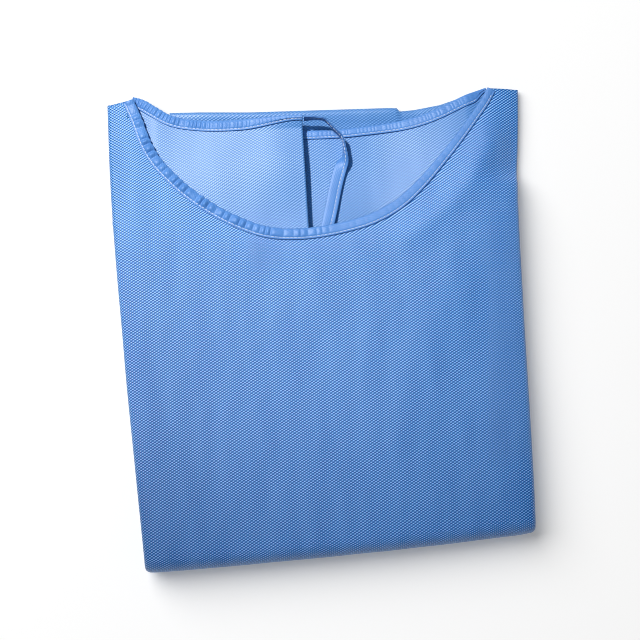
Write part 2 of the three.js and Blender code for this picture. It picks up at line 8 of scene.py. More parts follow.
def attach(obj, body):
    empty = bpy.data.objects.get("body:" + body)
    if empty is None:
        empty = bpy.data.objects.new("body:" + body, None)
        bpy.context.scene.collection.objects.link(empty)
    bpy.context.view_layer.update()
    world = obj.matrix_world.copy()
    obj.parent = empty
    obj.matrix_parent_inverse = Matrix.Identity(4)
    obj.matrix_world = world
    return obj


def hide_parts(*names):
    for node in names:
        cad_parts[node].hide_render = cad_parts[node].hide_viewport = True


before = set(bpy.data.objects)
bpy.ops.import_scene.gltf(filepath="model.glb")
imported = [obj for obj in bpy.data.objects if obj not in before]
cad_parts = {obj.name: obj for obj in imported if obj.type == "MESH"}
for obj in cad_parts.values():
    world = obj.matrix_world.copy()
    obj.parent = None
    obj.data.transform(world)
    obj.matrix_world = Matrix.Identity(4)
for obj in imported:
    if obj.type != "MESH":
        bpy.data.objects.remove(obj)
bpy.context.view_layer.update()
scene = bpy.context.scene

# Stage: the photograph's camera looks down on a white table from just in front of the skirt.
# A spot lamp at the upper left and a soft blue fill light the gown alone, and a broad window lights
# the table alone, so that the table stays white around a soft shadow.
VIEW_AZIMUTH = math.radians(-3.4)
VIEW_ELEVATION = math.radians(85)
VIEW_AIM = Vector((-0.0042, -0.0072, 0.014))
VIEW_DISTANCE = 1.3
toward_camera = Vector((
    math.sin(VIEW_AZIMUTH) * math.cos(VIEW_ELEVATION),
    -math.cos(VIEW_AZIMUTH) * math.cos(VIEW_ELEVATION),
    math.sin(VIEW_ELEVATION),
))
camera = bpy.data.objects.new("camera", bpy.data.cameras.new("camera"))
camera.data.lens = 100.17
camera.data.sensor_width = 36
camera.data.shift_x = -1 / 640
camera.data.shift_y = 10 / 640
camera.location = VIEW_AIM + toward_camera * VIEW_DISTANCE
camera.rotation_mode = "QUATERNION"
camera.rotation_quaternion = (-toward_camera).to_track_quat("-Z", "Y")
scene.collection.objects.link(camera)
scene.camera = camera
scene.view_settings.view_transform = "Standard"
scene.cycles.filter_width = 1.0

world = bpy.data.worlds.new("white_room")
scene.world = world
world.use_nodes = True
world.node_tree.nodes["Background"].inputs["Color"].default_value = (1.0, 1.0, 1.0, 1)
world.node_tree.nodes["Background"].inputs["Strength"].default_value = 0.12

TABLE_HALF = 3
floor_mesh = bpy.data.meshes.new("table")
floor_mesh.from_pydata(
    [(x * TABLE_HALF, y * TABLE_HALF, 0) for x, y in ((-1, -1), (1, -1), (1, 1), (-1, 1))],
    [], [(0, 1, 2, 3)])
table = bpy.data.objects.new("table", floor_mesh)
table_paint = bpy.data.materials.new("table_white")
table_paint.use_nodes = True
paint = table_paint.node_tree.nodes["Principled BSDF"].inputs
paint["Base Color"].default_value = (0.9, 0.9, 0.9, 1)
paint["Roughness"].default_value = 0.8
paint["Emission Color"].default_value = (1, 1, 1, 1)
paint["Emission Strength"].default_value = 0.22
floor_mesh.materials.append(table_paint)
scene.collection.objects.link(table)


def add_light(name, kind, place, aim, table_share, **settings):
    """A light turned toward a point. INCLUDE lights the table alone, EXCLUDE all but the table."""
    light = bpy.data.objects.new(name, bpy.data.lights.new(name, kind))
    for key, value in settings.items():
        setattr(light.data, key, value)
    light.location = place
    light.rotation_mode = "QUATERNION"
    light.rotation_quaternion = (Vector(aim) - light.location).to_track_quat("-Z", "Y")
    scene.collection.objects.link(light)
    linked = bpy.data.collections.new(name + "_table")
    linked.objects.link(table)
    linked.collection_objects[0].light_linking.link_state = table_share
    light.light_linking.receiver_collection = linked


add_light("lamp", "SPOT", (-0.67, 0.86, 1.68), (-0.035, 0.13, 0.0), "EXCLUDE", energy=205,
          spot_size=math.radians(21.5), spot_blend=1.0, shadow_soft_size=0.09)
add_light("window", "AREA", (-2.1, 2.1, 2.9), (0, 0, 0), "INCLUDE", energy=235, shape="DISK",
          size=4.5)
add_light("sky", "AREA", (0, 0, 3), (0, 0, 0), "EXCLUDE", energy=28, shape="DISK", size=3,
          color=(0.12, 0.52, 1.0), specular_factor=0.0)

# Front panel: one cut of light blue spunbond with pressed dots, scooped at the neck. It lies over
# the stack, its sides are rolled under, and at the skirt it turns down and back beneath the stack.
# Sizes are millimetres, as in the part's source, and become metres when a mesh is made.
SIDES = np.array([
    # y, left, right, roll left, roll right, fall left, fall right, slope left, slope right
    (-176, -140.4, 141.4, 4.5, 4.5, 1.2, 1.2, 10, 10),
    (-115, -143.5, 143.0, 4.5, 4.5, 1.2, 1.2, 10, 10),
    (-50, -146.8, 143.9, 4.5, 4.5, 1.2, 1.2, 10, 10),
    (16, -149.3, 144.8, 4.5, 4.5, 1.2, 1.2, 10, 10),
    (60, -151.0, 145.6, 4.5, 4.5, 1.2, 1.2, 10, 10),
    (78, -151.9, 146.2, 4.5, 4.5, 2.0, 1.2, 16, 10),
    (91, -152.3, 146.9, 4.4, 4.3, 2.5, 2.0, 18, 16),
    (94.5, -152.4, 147.1, 4.3, 4.1, 2.5, 2.6, 18, 22),
    (98.5, -152.5, 147.4, 4.2, 3.4, 2.5, 8.0, 18, 32),
    (104, -152.6, 147.9, 4.2, 3.0, 2.5, 11.0, 18, 36),
    (118, -152.8, 149.4, 4.0, 2.6, 2.5, 10.4, 18, 34),
    (150, -152.8, 152.0, 3.7, 2.4, 1.8, 5.4, 16, 24),
    (178, -152.7, 153.4, 3.5, 2.3, 0.8, 2.6, 14, 14),
])
LEFT, RIGHT, ROLL_LEFT, ROLL_RIGHT, FALL_LEFT, FALL_RIGHT, SLOPE_LEFT, SLOPE_RIGHT = range(1, 9)
CREST = np.array([
    (-180, 26), (-60, 26), (38, 26), (60, 25.2), (80, 22.8), (100, 19.6), (120, 16.4),
    (140, 13.2), (160, 10.2), (178, 8.6),
])
RIDGE = np.array([
    # y, x of the soft ridge where the stack falls away to the right, and the slope beyond it
    (-180, 40, 0.015), (-110, 42, 0.025), (-76, 52, 0.04), (-41, 66, 0.07), (8, 87, 0.11),
    (44, 95, 0.12), (80, 103, 0.10), (104, 108, 0.03), (120, 110, 0.0), (180, 110, 0.0),
])
RIDGE_SOFTNESS = 8
STACK_HEIGHT = 26
HALF_STACK = STACK_HEIGHT / 2
FOLD_DEPTH = 10
FOLD_ARC = 36.4
SIDE_RETURN = 6
MID_Y = 50
SOUTH_LEFT = (-140, -176)
SOUTH_RIGHT = (141, -164.3)
SOUTH_BOW = -1.4
UNDERSIDE_LEFT = 74
UNDERSIDE_RIGHT = 90
FRONT_STITCH = [
    (-140.6, 169.8), (-135.5, 156.6), (-129.0, 136.2), (-121.7, 122.0), (-111.0, 108.5),
    (-99.1, 96.2), (-80.6, 81.6), (-61.0, 69.8), (-40.0, 61.4), (-17.0, 58.6), (8.0, 60.2),
    (35.3, 65.8), (51.5, 72.4), (64.3, 80.4), (79.8, 94.4), (95.6, 111.6), (108.0, 126.0),
    (119.2, 140.0), (129.3, 153.0), (135.2, 162.6),
]
TAPE_WIDE = 7.1
TAPE_NARROW = 5.4
BAND = 9
PANEL_WALL = 0.45
ROLL_STEPS = 10


def lerp(a, b, t):
    return a + (b - a) * t


def smooth(x, low, high):
    t = np.clip((x - low) / (high - low), 0, 1)
    return t * t * (3 - 2 * t)


def read(table, column, y):
    """Value of one column of a table at station y, with smooth slopes between its rows."""
    at, value = table[:, 0], table[:, column]
    ends = np.diff(value) / np.diff(at)
    middle = (value[2:] - value[:-2]) / (at[2:] - at[:-2])
    slope = np.concatenate([ends[:1], middle, ends[-1:]])
    i = np.clip(np.searchsorted(at, y) - 1, 0, len(at) - 2)
    span = at[i + 1] - at[i]
    t = np.clip((y - at[i]) / span, 0, 1)
    leave = t * (1 - t) ** 2 * span * slope[i]
    arrive = t * t * (t - 1) * span * slope[i + 1]
    return value[i] + (value[i + 1] - value[i]) * t * t * (3 - 2 * t) + leave + arrive


def left_line(y):
    return read(SIDES, LEFT, y) + read(SIDES, ROLL_LEFT, y)


def right_line(y):
    return read(SIDES, RIGHT, y) - read(SIDES, ROLL_RIGHT, y)


def height(x, y):
    from_left = np.clip((x - left_line(y)) / read(SIDES, SLOPE_LEFT, y), 0, 1)
    from_right = np.clip((right_line(y) - x) / read(SIDES, SLOPE_RIGHT, y), 0, 1)
    fall_left = read(SIDES, FALL_LEFT, y) * (1 - from_left) ** 2
    fall_right = read(SIDES, FALL_RIGHT, y) * (1 - from_right) ** 2
    beyond = x - read(RIDGE, 1, y)
    fall_ridge = read(RIDGE, 2, y) * (beyond + np.sqrt(beyond ** 2 + RIDGE_SOFTNESS ** 2)) / 2
    return read(CREST, 1, y) - fall_left - fall_right - fall_ridge


def fold_line(x):
    t = (x - SOUTH_LEFT[0]) / (SOUTH_RIGHT[0] - SOUTH_LEFT[0])
    return lerp(SOUTH_LEFT[1], SOUTH_RIGHT[1], t) + SOUTH_BOW * 4 * t * (1 - t) + FOLD_DEPTH


def underside_end(x):
    t = (x - SOUTH_LEFT[0]) / (SOUTH_RIGHT[0] - SOUTH_LEFT[0])
    return lerp(UNDERSIDE_LEFT, UNDERSIDE_RIGHT, t)


def on_top(x, y, depth, at):
    return np.stack([x, y, height(at, y) - depth], -1), y


def on_fold(turn):
    def put(x, y, depth, at):
        south = fold_line(at)
        fall = STACK_HEIGHT - height(at, south)
        inside = depth + fall * (1 + np.cos(turn)) / 2
        reach = FOLD_DEPTH * (1 - inside / HALF_STACK)
        z = HALF_STACK + (HALF_STACK - inside) * np.cos(turn)
        return np.stack([x, south - reach * np.sin(turn), z], -1), south - FOLD_ARC * turn / np.pi
    return put


def on_underside(share):
    def put(x, y, depth, at):
        south = fold_line(at)
        here = lerp(south, underside_end(at), share)
        return np.stack([x, here, depth + 0 * x], -1), 2 * south - FOLD_ARC - here
    return put


def panel_row(x, y, put, roll_left, roll_right):
    """One run across the panel with its rolled sides: points, and places on the flat cloth."""
    turns = np.pi * np.arange(1, ROLL_STEPS + 1) / ROLL_STEPS
    left_x = np.append(x[0] - roll_left * np.sin(turns), x[0] + SIDE_RETURN)[::-1]
    left_depth = np.append(roll_left * (1 - np.cos(turns)), 2 * roll_left)[::-1]
    left_u = np.append(x[0] - roll_left * turns, x[0] - roll_left * np.pi - SIDE_RETURN)[::-1]
    right_x = np.append(x[-1] + roll_right * np.sin(turns), x[-1] - SIDE_RETURN)
    right_depth = np.append(roll_right * (1 - np.cos(turns)), 2 * roll_right)
    right_u = np.append(x[-1] + roll_right * turns, x[-1] + roll_right * np.pi + SIDE_RETURN)
    side = np.ones(ROLL_STEPS + 1)
    points, v = put(
        np.concatenate([left_x, x, right_x]),
        np.concatenate([side * y[0], y, side * y[-1]]),
        np.concatenate([left_depth, 0 * x, right_depth]),
        np.concatenate([side * x[0], x, side * x[-1]]),
    )
    return points, np.stack([np.concatenate([left_u, x, right_u]), v], -1)


def top_row(x, y):
    return panel_row(x, y, on_top, read(SIDES, ROLL_LEFT, y[0]), read(SIDES, ROLL_RIGHT, y[-1]))


def unit(vectors):
    return vectors / np.linalg.norm(vectors, axis=-1, keepdims=True)


def along_curve(points, count):
    """Evenly spaced points on a smooth curve through a table, and the directions along it."""
    p = np.array(points, float)
    ends = np.vstack([2 * p[0] - p[1], p, 2 * p[-1] - p[-2]])
    t = np.linspace(0, 1, 60, endpoint=False)[:, None]
    dense = []
    for a, b, c, d in zip(ends, ends[1:], ends[2:], ends[3:]):
        ab, bc, cd = (np.linalg.norm(e[:3]) ** 0.5 for e in (b - a, c - b, d - c))
        leave = ((b - a) / ab - (c - a) / (ab + bc) + (c - b) / bc) * bc
        arrive = ((c - b) / bc - (d - b) / (bc + cd) + (d - c) / cd) * bc
        dense.append(b + leave * t + (3 * (c - b) - 2 * leave - arrive) * t ** 2
                     + (2 * (b - c) + leave + arrive) * t ** 3)
    dense = np.vstack(dense + [p[-1:]])
    run = np.append(0, np.cumsum(np.linalg.norm(np.diff(dense[:, :3], axis=0), axis=1)))
    at = np.linspace(0, run[-1], count + 1)
    spaced = np.stack([np.interp(at, run, dense[:, k]) for k in range(p.shape[1])], -1)
    return spaced, unit(np.gradient(spaced, axis=0)), run[-1]


def grid_normals(grid):
    down = np.gradient(grid, axis=0)
    over = np.gradient(grid, axis=1)
    return unit(np.cross(down, over))


def finish_mesh(name, points, faces, flat, material):
    """A smooth mesh object in metres, with the flat cloth as its UV map, given corner by corner."""
    mesh = bpy.data.meshes.new(name)
    mesh.from_pydata((points / 1000).tolist(), [], faces)
    layer = mesh.uv_layers.new(name="cloth")
    layer.uv.foreach_set("vector", (flat / 1000).astype(np.float32).ravel())
    mesh.polygons.foreach_set("use_smooth", np.ones(len(mesh.polygons), bool))
    mesh.materials.append(material)
    piece = bpy.data.objects.new(name, mesh)
    scene.collection.objects.link(piece)
    return piece


def quads(a, b, c, d):
    return np.stack([a, b, c, d], -1).reshape(-1, 4)


def cloth_shell(name, grid, flat, wall, material):
    """A thin closed shell on a grid of outer points, rows down the cloth and columns across it."""
    rows, columns = grid.shape[:2]
    inner = grid - grid_normals(grid) * wall
    n = np.arange(rows * columns).reshape(rows, columns)
    m = n + rows * columns
    faces = np.vstack([
        quads(n[:-1, :-1], n[1:, :-1], n[1:, 1:], n[:-1, 1:]),
        quads(m[:-1, :-1], m[:-1, 1:], m[1:, 1:], m[1:, :-1]),
        quads(n[:-1, 0], m[:-1, 0], m[1:, 0], n[1:, 0]),
        quads(n[:-1, -1], n[1:, -1], m[1:, -1], m[:-1, -1]),
        quads(n[0, :-1], n[0, 1:], m[0, 1:], m[0, :-1]),
        quads(n[-1, :-1], m[-1, :-1], m[-1, 1:], n[-1, 1:]),
    ])
    points = np.vstack([grid.reshape(-1, 3), inner.reshape(-1, 3)])
    corners = np.vstack([flat.reshape(-1, 2)] * 2)[faces.ravel()]
    return finish_mesh(name, points, faces.tolist(), corners, material)


def swell(flat, size, seed):
    """Slow unevenness of hand-folded cloth, from -1 to 1, read on the flat cloth."""
    places = flat.reshape(-1, 2) / size
    values = [noise.noise(Vector((u, v, seed))) for u, v in places]
    return np.array(values).reshape(flat.shape[:-1])


def crease(flat, path, width):
    """How strongly each place on the flat cloth lies on a soft crease along a path, from 0 to 1."""
    nearest = np.full(flat.shape[:-1], 1e9)
    path = np.array(path, float)
    for a, b in zip(path, path[1:]):
        t = np.clip(((flat - a) @ (b - a)) / ((b - a) @ (b - a)), 0, 1)
        nearest = np.minimum(nearest, np.linalg.norm(flat - a - t[..., None] * (b - a), axis=-1))
    return np.exp(-(nearest / width) ** 2)


class Wire:
    """A socket of a material's node tree, so that its maths reads as a Python expression."""

    def __init__(self, tree, socket):
        self.tree = tree
        self.socket = socket

    def node(self, kind, values, output=0, **settings):
        made = self.tree.nodes.new(kind)
        for key, value in settings.items():
            setattr(made, key, value)
        for key, value in values.items():
            if isinstance(value, Wire):
                self.tree.links.new(value.socket, made.inputs[key])
            else:
                made.inputs[key].default_value = value
        return Wire(self.tree, made.outputs[output])

    def math(self, operation, *others):
        return self.node("ShaderNodeMath", dict(enumerate((self, *others))), operation=operation)

    def __add__(self, other):
        return self.math("ADD", other)

    __radd__ = __add__

    def __mul__(self, other):
        return self.math("MULTIPLY", other)

    __rmul__ = __mul__

    def __sub__(self, other):
        return self.math("SUBTRACT", other)

    def __rsub__(self, other):
        return self * -1.0 + other

    def cosine(self):
        return self.math("COSINE")


# Emboss: a centred lattice of pressed dots, in millimetres across the cloth and along it. The rows
# wander a little, and streaks and fibres cloud the colour.
DOT_ACROSS = 3.01
DOT_ALONG = 1.99
DOT_TURN = math.radians(1.35)
WANDER_SCALE = 90.0
WANDER_TURN = 1.1
STREAKS_ACROSS = 60.0
STREAKS_ALONG = 14.0
FIBRE_SCALE = 2600.0
FIBRE_SHARE = 0.2
MID_STOP = 0.55


def spunbond(name, deep, mid, crest, contrast, relief, streaks, roughness):
    """Embossed non-woven cloth: pressed dots in relief, given in millimetres, with the lamp's light
    and shade on their facets painted into the colour, from painted shade at the deep stop to a
    near-white painted glint at the crest stop, and cloudy lengthwise streaks."""
    material = bpy.data.materials.new(name)
    material.use_nodes = True
    tree = material.node_tree
    shader = tree.nodes["Principled BSDF"]
    start = Wire(tree, None)
    flat = start.node("ShaderNodeUVMap", {}, uv_map="cloth")
    wander = start.node("ShaderNodeTexNoise", {
        "Vector": flat, "Scale": WANDER_SCALE, "Detail": 2.0})
    turned = start.node("ShaderNodeMapping", {"Vector": flat, "Rotation": (0, 0, DOT_TURN)})
    across = start.node("ShaderNodeSeparateXYZ", {"Vector": turned})
    along = start.node("ShaderNodeSeparateXYZ", {"Vector": turned}, output=1)
    phase_across = across * (2000 * math.pi / DOT_ACROSS) + (wander - 0.5) * WANDER_TURN
    phase_along = along * (2000 * math.pi / DOT_ALONG)
    dots = phase_across.cosine() * phase_along.cosine()
    # Painted light and shade: rising and falling are the dots' two waves moved a quarter period
    # from the relief, so the colour is light on each dot's side toward the lamp at the upper left
    # and dark on its far side, weighted to the wave that runs across the light.
    rising = (phase_across - phase_along - math.pi / 2).cosine()
    falling = (phase_across + phase_along + math.pi / 2).cosine()
    stretched = start.node("ShaderNodeCombineXYZ", {
        "X": across * STREAKS_ACROSS, "Y": along * STREAKS_ALONG})
    streak = start.node("ShaderNodeTexNoise", {"Vector": stretched, "Scale": 1.0, "Detail": 3.0})
    fibre = start.node("ShaderNodeTexNoise", {"Vector": flat, "Scale": FIBRE_SCALE, "Detail": 2.0})
    facet_light_and_shade = (rising * 0.6 + falling * 0.4) * (0.5 * contrast)
    tone = facet_light_and_shade + 0.5 + (streak - 0.5) * streaks + (fibre - 0.5) * FIBRE_SHARE
    # The ramp's deep stop is painted shade on the far sides of the dots, and its crest stop a
    # near-white painted glint on their lit sides.
    colour = start.node("ShaderNodeValToRGB", {"Fac": tone})
    stops = colour.socket.node.color_ramp.elements
    stops[0].color, stops[1].color = (*deep, 1), (*crest, 1)
    stops.new(MID_STOP).color = (*mid, 1)
    tree.links.new(colour.socket, shader.inputs["Base Color"])
    pressed = dots * -0.5
    bump = start.node("ShaderNodeBump", {
        "Strength": 1.0, "Distance": relief / 1000, "Height": pressed})
    tree.links.new(bump.socket, shader.inputs["Normal"])
    shader.inputs["Roughness"].default_value = roughness
    shader.inputs["Specular IOR Level"].default_value = 0.6
    shader.inputs["IOR"].default_value = 1.5
    shader.inputs["Sheen Weight"].default_value = 0.05
    shader.inputs["Sheen Roughness"].default_value = 0.5
    return material


# Front cloth: the near-white crest stop is a painted glint and the deep stop painted shade on the
# dots' facets.
front_cloth = spunbond(
    "front_cloth", deep=(0.0, 0.045, 0.25), mid=(0.0, 0.175, 0.49), crest=(0.35, 0.57, 0.87),
    contrast=1.3, relief=0.3, streaks=0.25, roughness=0.40)

NECK_STEPS = 168
SHOULDER_STEPS = 8
CORNER_STEPS = 7
LEFT_CORNER_WAY = np.array([-0.565, -0.825])
RIGHT_CORNER_WAY = np.array([0.486, -0.874])
LEFT_SHOULDER_Y = 169.6
RIGHT_SHOULDER_Y = 163.8
stitch, stitch_along, _ = along_curve(FRONT_STITCH, NECK_STEPS)
inward = np.stack([stitch_along[:, 1], -stitch_along[:, 0]], -1)
tape_width = lerp(TAPE_WIDE, TAPE_NARROW, smooth(stitch[:, 0], 50, 120))
neck_edge = stitch - inward * tape_width[:, None]
corner = 1 - smooth(np.arange(NECK_STEPS + 1), 0, CORNER_STEPS)
inward = unit(lerp(inward, LEFT_CORNER_WAY, corner[:, None]))
inward = unit(lerp(inward, RIGHT_CORNER_WAY, corner[::-1, None]))
left_top = np.array([left_line(LEFT_SHOULDER_Y), LEFT_SHOULDER_Y])
right_top = np.array([right_line(RIGHT_SHOULDER_Y), RIGHT_SHOULDER_Y])
share = np.linspace(0, 1, SHOULDER_STEPS, endpoint=False)[:, None]
straight = np.repeat([[0.0, -1.0]], SHOULDER_STEPS, axis=0)
top_edge = np.vstack([
    lerp(left_top, neck_edge[0], share), neck_edge, lerp(right_top, neck_edge[-1], share)[::-1]])
top_inward = np.vstack([straight, inward, straight])


def panel_run(edge, directions, depth):
    """The neck line of the panel moved down the cloth, with its ends on the side folds."""
    run = edge + directions * depth
    left, right = left_line(run[0, 1]), right_line(run[-1, 1])
    t = np.linspace(0, 1, SHOULDER_STEPS, endpoint=False)
    run[:SHOULDER_STEPS, 0] = lerp(left, run[SHOULDER_STEPS, 0], t)
    run[-SHOULDER_STEPS:, 0] = lerp(right, run[-SHOULDER_STEPS - 1, 0], t)[::-1]
    return run


fractions = (top_edge[:, 0] - left_top[0]) / (right_top[0] - left_top[0])


def skirt_run(share, shares):
    left_y = lerp(MID_Y, fold_line(SOUTH_LEFT[0]), share)
    right_y = lerp(MID_Y, fold_line(SOUTH_RIGHT[0]), share)
    x = lerp(left_line(left_y), right_line(right_y), shares)
    return x, lerp(MID_Y, fold_line(x), share)


def underside_run(share, shares):
    left_y = lerp(fold_line(SOUTH_LEFT[0]), UNDERSIDE_LEFT, share)
    right_y = lerp(fold_line(SOUTH_RIGHT[0]), UNDERSIDE_RIGHT, share)
    x = lerp(left_line(left_y), right_line(right_y), shares)
    return x, 0 * x


rows = [top_row(*panel_run(top_edge, top_inward, depth).T) for depth in np.linspace(0, BAND, 4)]
band_run = panel_run(top_edge, top_inward, BAND)
middle_run = np.stack(skirt_run(0, fractions), -1)
NECK_ROWS = 34
SKIRT_ROWS = 78
FOLD_ROWS = 22
UNDER_ROWS = 14
for i in range(1, NECK_ROWS + 1):
    run = lerp(band_run, middle_run, i / NECK_ROWS)
    run[0, 0] = left_line(run[0, 1])
    run[-1, 0] = right_line(run[-1, 1])
    rows.append(top_row(*run.T))
rows += [top_row(*skirt_run(i / SKIRT_ROWS, fractions)) for i in range(1, SKIRT_ROWS + 1)]
south_roll = read(SIDES, ROLL_LEFT, SOUTH_LEFT[1])
for i in range(1, FOLD_ROWS + 1):
    put = on_fold(np.pi * i / FOLD_ROWS)
    rows.append(panel_row(*skirt_run(1, fractions), put, south_roll, south_roll))
for i in range(1, UNDER_ROWS + 1):
    put = on_underside(i / UNDER_ROWS)
    rows.append(panel_row(*underside_run(i / UNDER_ROWS, fractions), put, south_roll, south_roll))
front_grid = np.array([points for points, _ in rows])
front_flat = np.array([flat for _, flat in rows])
inner = slice(ROLL_STEPS + 1, -ROLL_STEPS - 1)
steps = np.diff(front_grid[:, inner], axis=1)
longer = np.linalg.norm(steps, axis=2) - np.linalg.norm(steps[..., :2], axis=2)
longer = np.pad(np.cumsum(longer, axis=1), ((0, 0), (ROLL_STEPS + 2, ROLL_STEPS + 1)), "edge")
front_flat[..., 0] += longer - longer[:, longer.shape[1] // 2, None]
lying = smooth(front_grid[..., 2], 1.0, 6.0)
waves = 0.35 * swell(front_flat, 55, 3.1) + 0.2 * swell(front_flat * (1, 0.4), 22, 8.4)
CREASES = (
    # height, half width and path on the flat cloth of the left tuck, right swell and right tuck
    (0.6, 1.6, [(-152, 79), (-144, 75.5), (-134, 73)]),
    (2.2, 10, [(66, 58), (78, 66), (94, 79), (110, 95), (122, 110), (130, 124)]),
    (-0.5, 1.3, [(154, 95), (128, 96.5), (118, 99)]),
)
for rise, width, path in CREASES:
    waves += rise * crease(front_flat, path, width)
front_grid += grid_normals(front_grid) * (waves * lying)[..., None]
front_panel = cloth_shell("front_panel_cloth", front_grid, front_flat, PANEL_WALL, front_cloth)
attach(front_panel, "root")
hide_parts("front_panel")

# Back panels: the inner faces that show through the neck. They are cut from the same cloth, end at
# the centre back, and the left one laps over the right one.
BACK_END_Y = 46
LEFT_NECK = [
    (-133.6, 174.5), (-126.0, 171.6), (-117.2, 165.4), (-108.0, 159.2), (-100.0, 155.9),
    (-86.7, 153.1), (-73.3, 151.5), (-55.4, 151.0), (-37.4, 151.2), (-16.7, 151.4), (-8.4, 150.9),
]
RIGHT_NECK = [
    (-30.0, 142.4), (-3.4, 141.0), (22.1, 140.8), (36.4, 141.6), (50.6, 142.8), (65.1, 144.5),
    (79.6, 147.7), (93.9, 152.5), (103.8, 156.8), (113.8, 161.0), (129.0, 166.0),
]
LEFT_SHOULDER = np.array([(-146.6, 167.4), (-140.4, 170.6)])
RIGHT_SHOULDER = np.array([(135.4, 163.2), (141.6, 162.2)])
LEFT_SIDE_X, LEFT_FREE_X = -146, -8.6
RIGHT_FREE_X, RIGHT_SIDE_X = -30, 141
BACK_DEPTH = 3.0
LEFT_LIFT = 5
RIGHT_LAP = 4.2
RIGHT_LAP_SLOPE = 0.07
CORNER_SINK = 2.4
LEFT_LEAN = np.array([
    # x, degrees by which the left neck edge leans up toward the tie
    (-85, 0), (-55, 5), (-37.4, 10), (-17, 20), (-8, 26),
])
BACK_STEPS = 110
BAND_ROWS = 6
BACK_ROWS = 48
BACK_SWELL = 0.5
BACK_SWELL_SIZE = 40


def back_left(x, y):
    lift = LEFT_LIFT * smooth(x, -112, -20) * smooth(y, 70, 126)
    corner = smooth(-x, 116, 134) * (1 - smooth(-x, 135, 144))
    return height(x, y) - BACK_DEPTH + lift - CORNER_SINK * corner


def back_right(x, y):
    lap = (RIGHT_LAP + RIGHT_LAP_SLOPE * (140 - y)) * (1 - smooth(x, 36, 116))
    corner = smooth(x, 112, 128) * (1 - smooth(x, 131, 140))
    return height(x, y) - BACK_DEPTH - lap - CORNER_SINK * corner


def left_lean(x):
    return np.radians(np.interp(x, *LEFT_LEAN.T))


def no_lean(x):
    return 0 * x


def back_point(edge, directions, run, face, lean):
    """Points a given run down the cloth from a back panel's neck edge, which may lean up."""
    tilt = lean(edge[:, 0])
    x, y = (edge + directions * (run * np.cos(tilt))[:, None]).T
    return np.stack([x, y, face(x, y) + (BAND - run) * np.sin(tilt)], -1)


def back_grid(edge, directions, face, lean, first_x, last_x):
    rows = [back_point(edge, directions, run, face, lean)
            for run in np.linspace(0, BAND, BAND_ROWS + 1)]
    ends = lerp(first_x, last_x, (edge[:, 0] - edge[0, 0]) / (edge[-1, 0] - edge[0, 0]))
    for i in range(1, BACK_ROWS + 1):
        x = lerp(rows[BAND_ROWS][:, 0], ends, i / BACK_ROWS)
        y = lerp(rows[BAND_ROWS][:, 1], BACK_END_Y, i / BACK_ROWS)
        rows.append(np.stack([x, y, face(x, y)], -1))
    return np.array(rows)


# Inside cloth: the crest and deep stops paint light and shade on the dots' facets, more softly than
# on the front.
inside_cloth = spunbond(
    "inside_cloth", deep=(0.03, 0.12, 0.32), mid=(0.07, 0.21, 0.47), crest=(0.22, 0.38, 0.68),
    contrast=0.7, relief=0.14, streaks=0.3, roughness=0.42)

left_neck, left_along, _ = along_curve(LEFT_NECK, BACK_STEPS)
left_inward = np.stack([left_along[:, 1], -left_along[:, 0]], -1)
left_grid = back_grid(
    np.vstack([LEFT_SHOULDER, left_neck]), np.vstack([[(0, -1)] * 2, left_inward]),
    back_left, left_lean, LEFT_SIDE_X, LEFT_FREE_X)
left_flat = left_grid[..., :2].copy()
left_grid[..., 2] += BACK_SWELL * swell(left_flat, BACK_SWELL_SIZE, 5.7)
left_panel = cloth_shell("back_panel_left_cloth", left_grid, left_flat, PANEL_WALL, inside_cloth)

right_neck, right_along, _ = along_curve(RIGHT_NECK, BACK_STEPS)
right_inward = np.stack([right_along[:, 1], -right_along[:, 0]], -1)
right_grid = back_grid(
    np.vstack([right_neck, RIGHT_SHOULDER]), np.vstack([right_inward, [(0, -1)] * 2]),
    back_right, no_lean, RIGHT_FREE_X, RIGHT_SIDE_X)
right_flat = right_grid[..., :2].copy()
right_grid[..., 2] += BACK_SWELL * swell(right_flat, BACK_SWELL_SIZE, 2.2)
right_panel = cloth_shell(
    "back_panel_right_cloth", right_grid, right_flat, PANEL_WALL, inside_cloth)

for panel, node, flat_size, flat_area in (
    (left_panel, "back_panel_left", (0.14, 0.125), 0.0153),
    (right_panel, "back_panel_right", (0.175, 0.12), 0.0175),
):
    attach(panel, "root")
    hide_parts(node)

# Neck bindings: folded tape of a smoother cloth that wraps each neck edge and is sewn through with
# one lockstitch near its turned edge. The sewing draws it up into small uneven puckers.
TAPE_RISE = 1.15
TAPE_UNDER = 6.0
NOSE_RADIUS = 1.05
STITCH_INSET = 1.35
STITCH_DIP = 0.3
NOSE_TURNS = np.linspace(0.42 * np.pi, -0.42 * np.pi, 9)


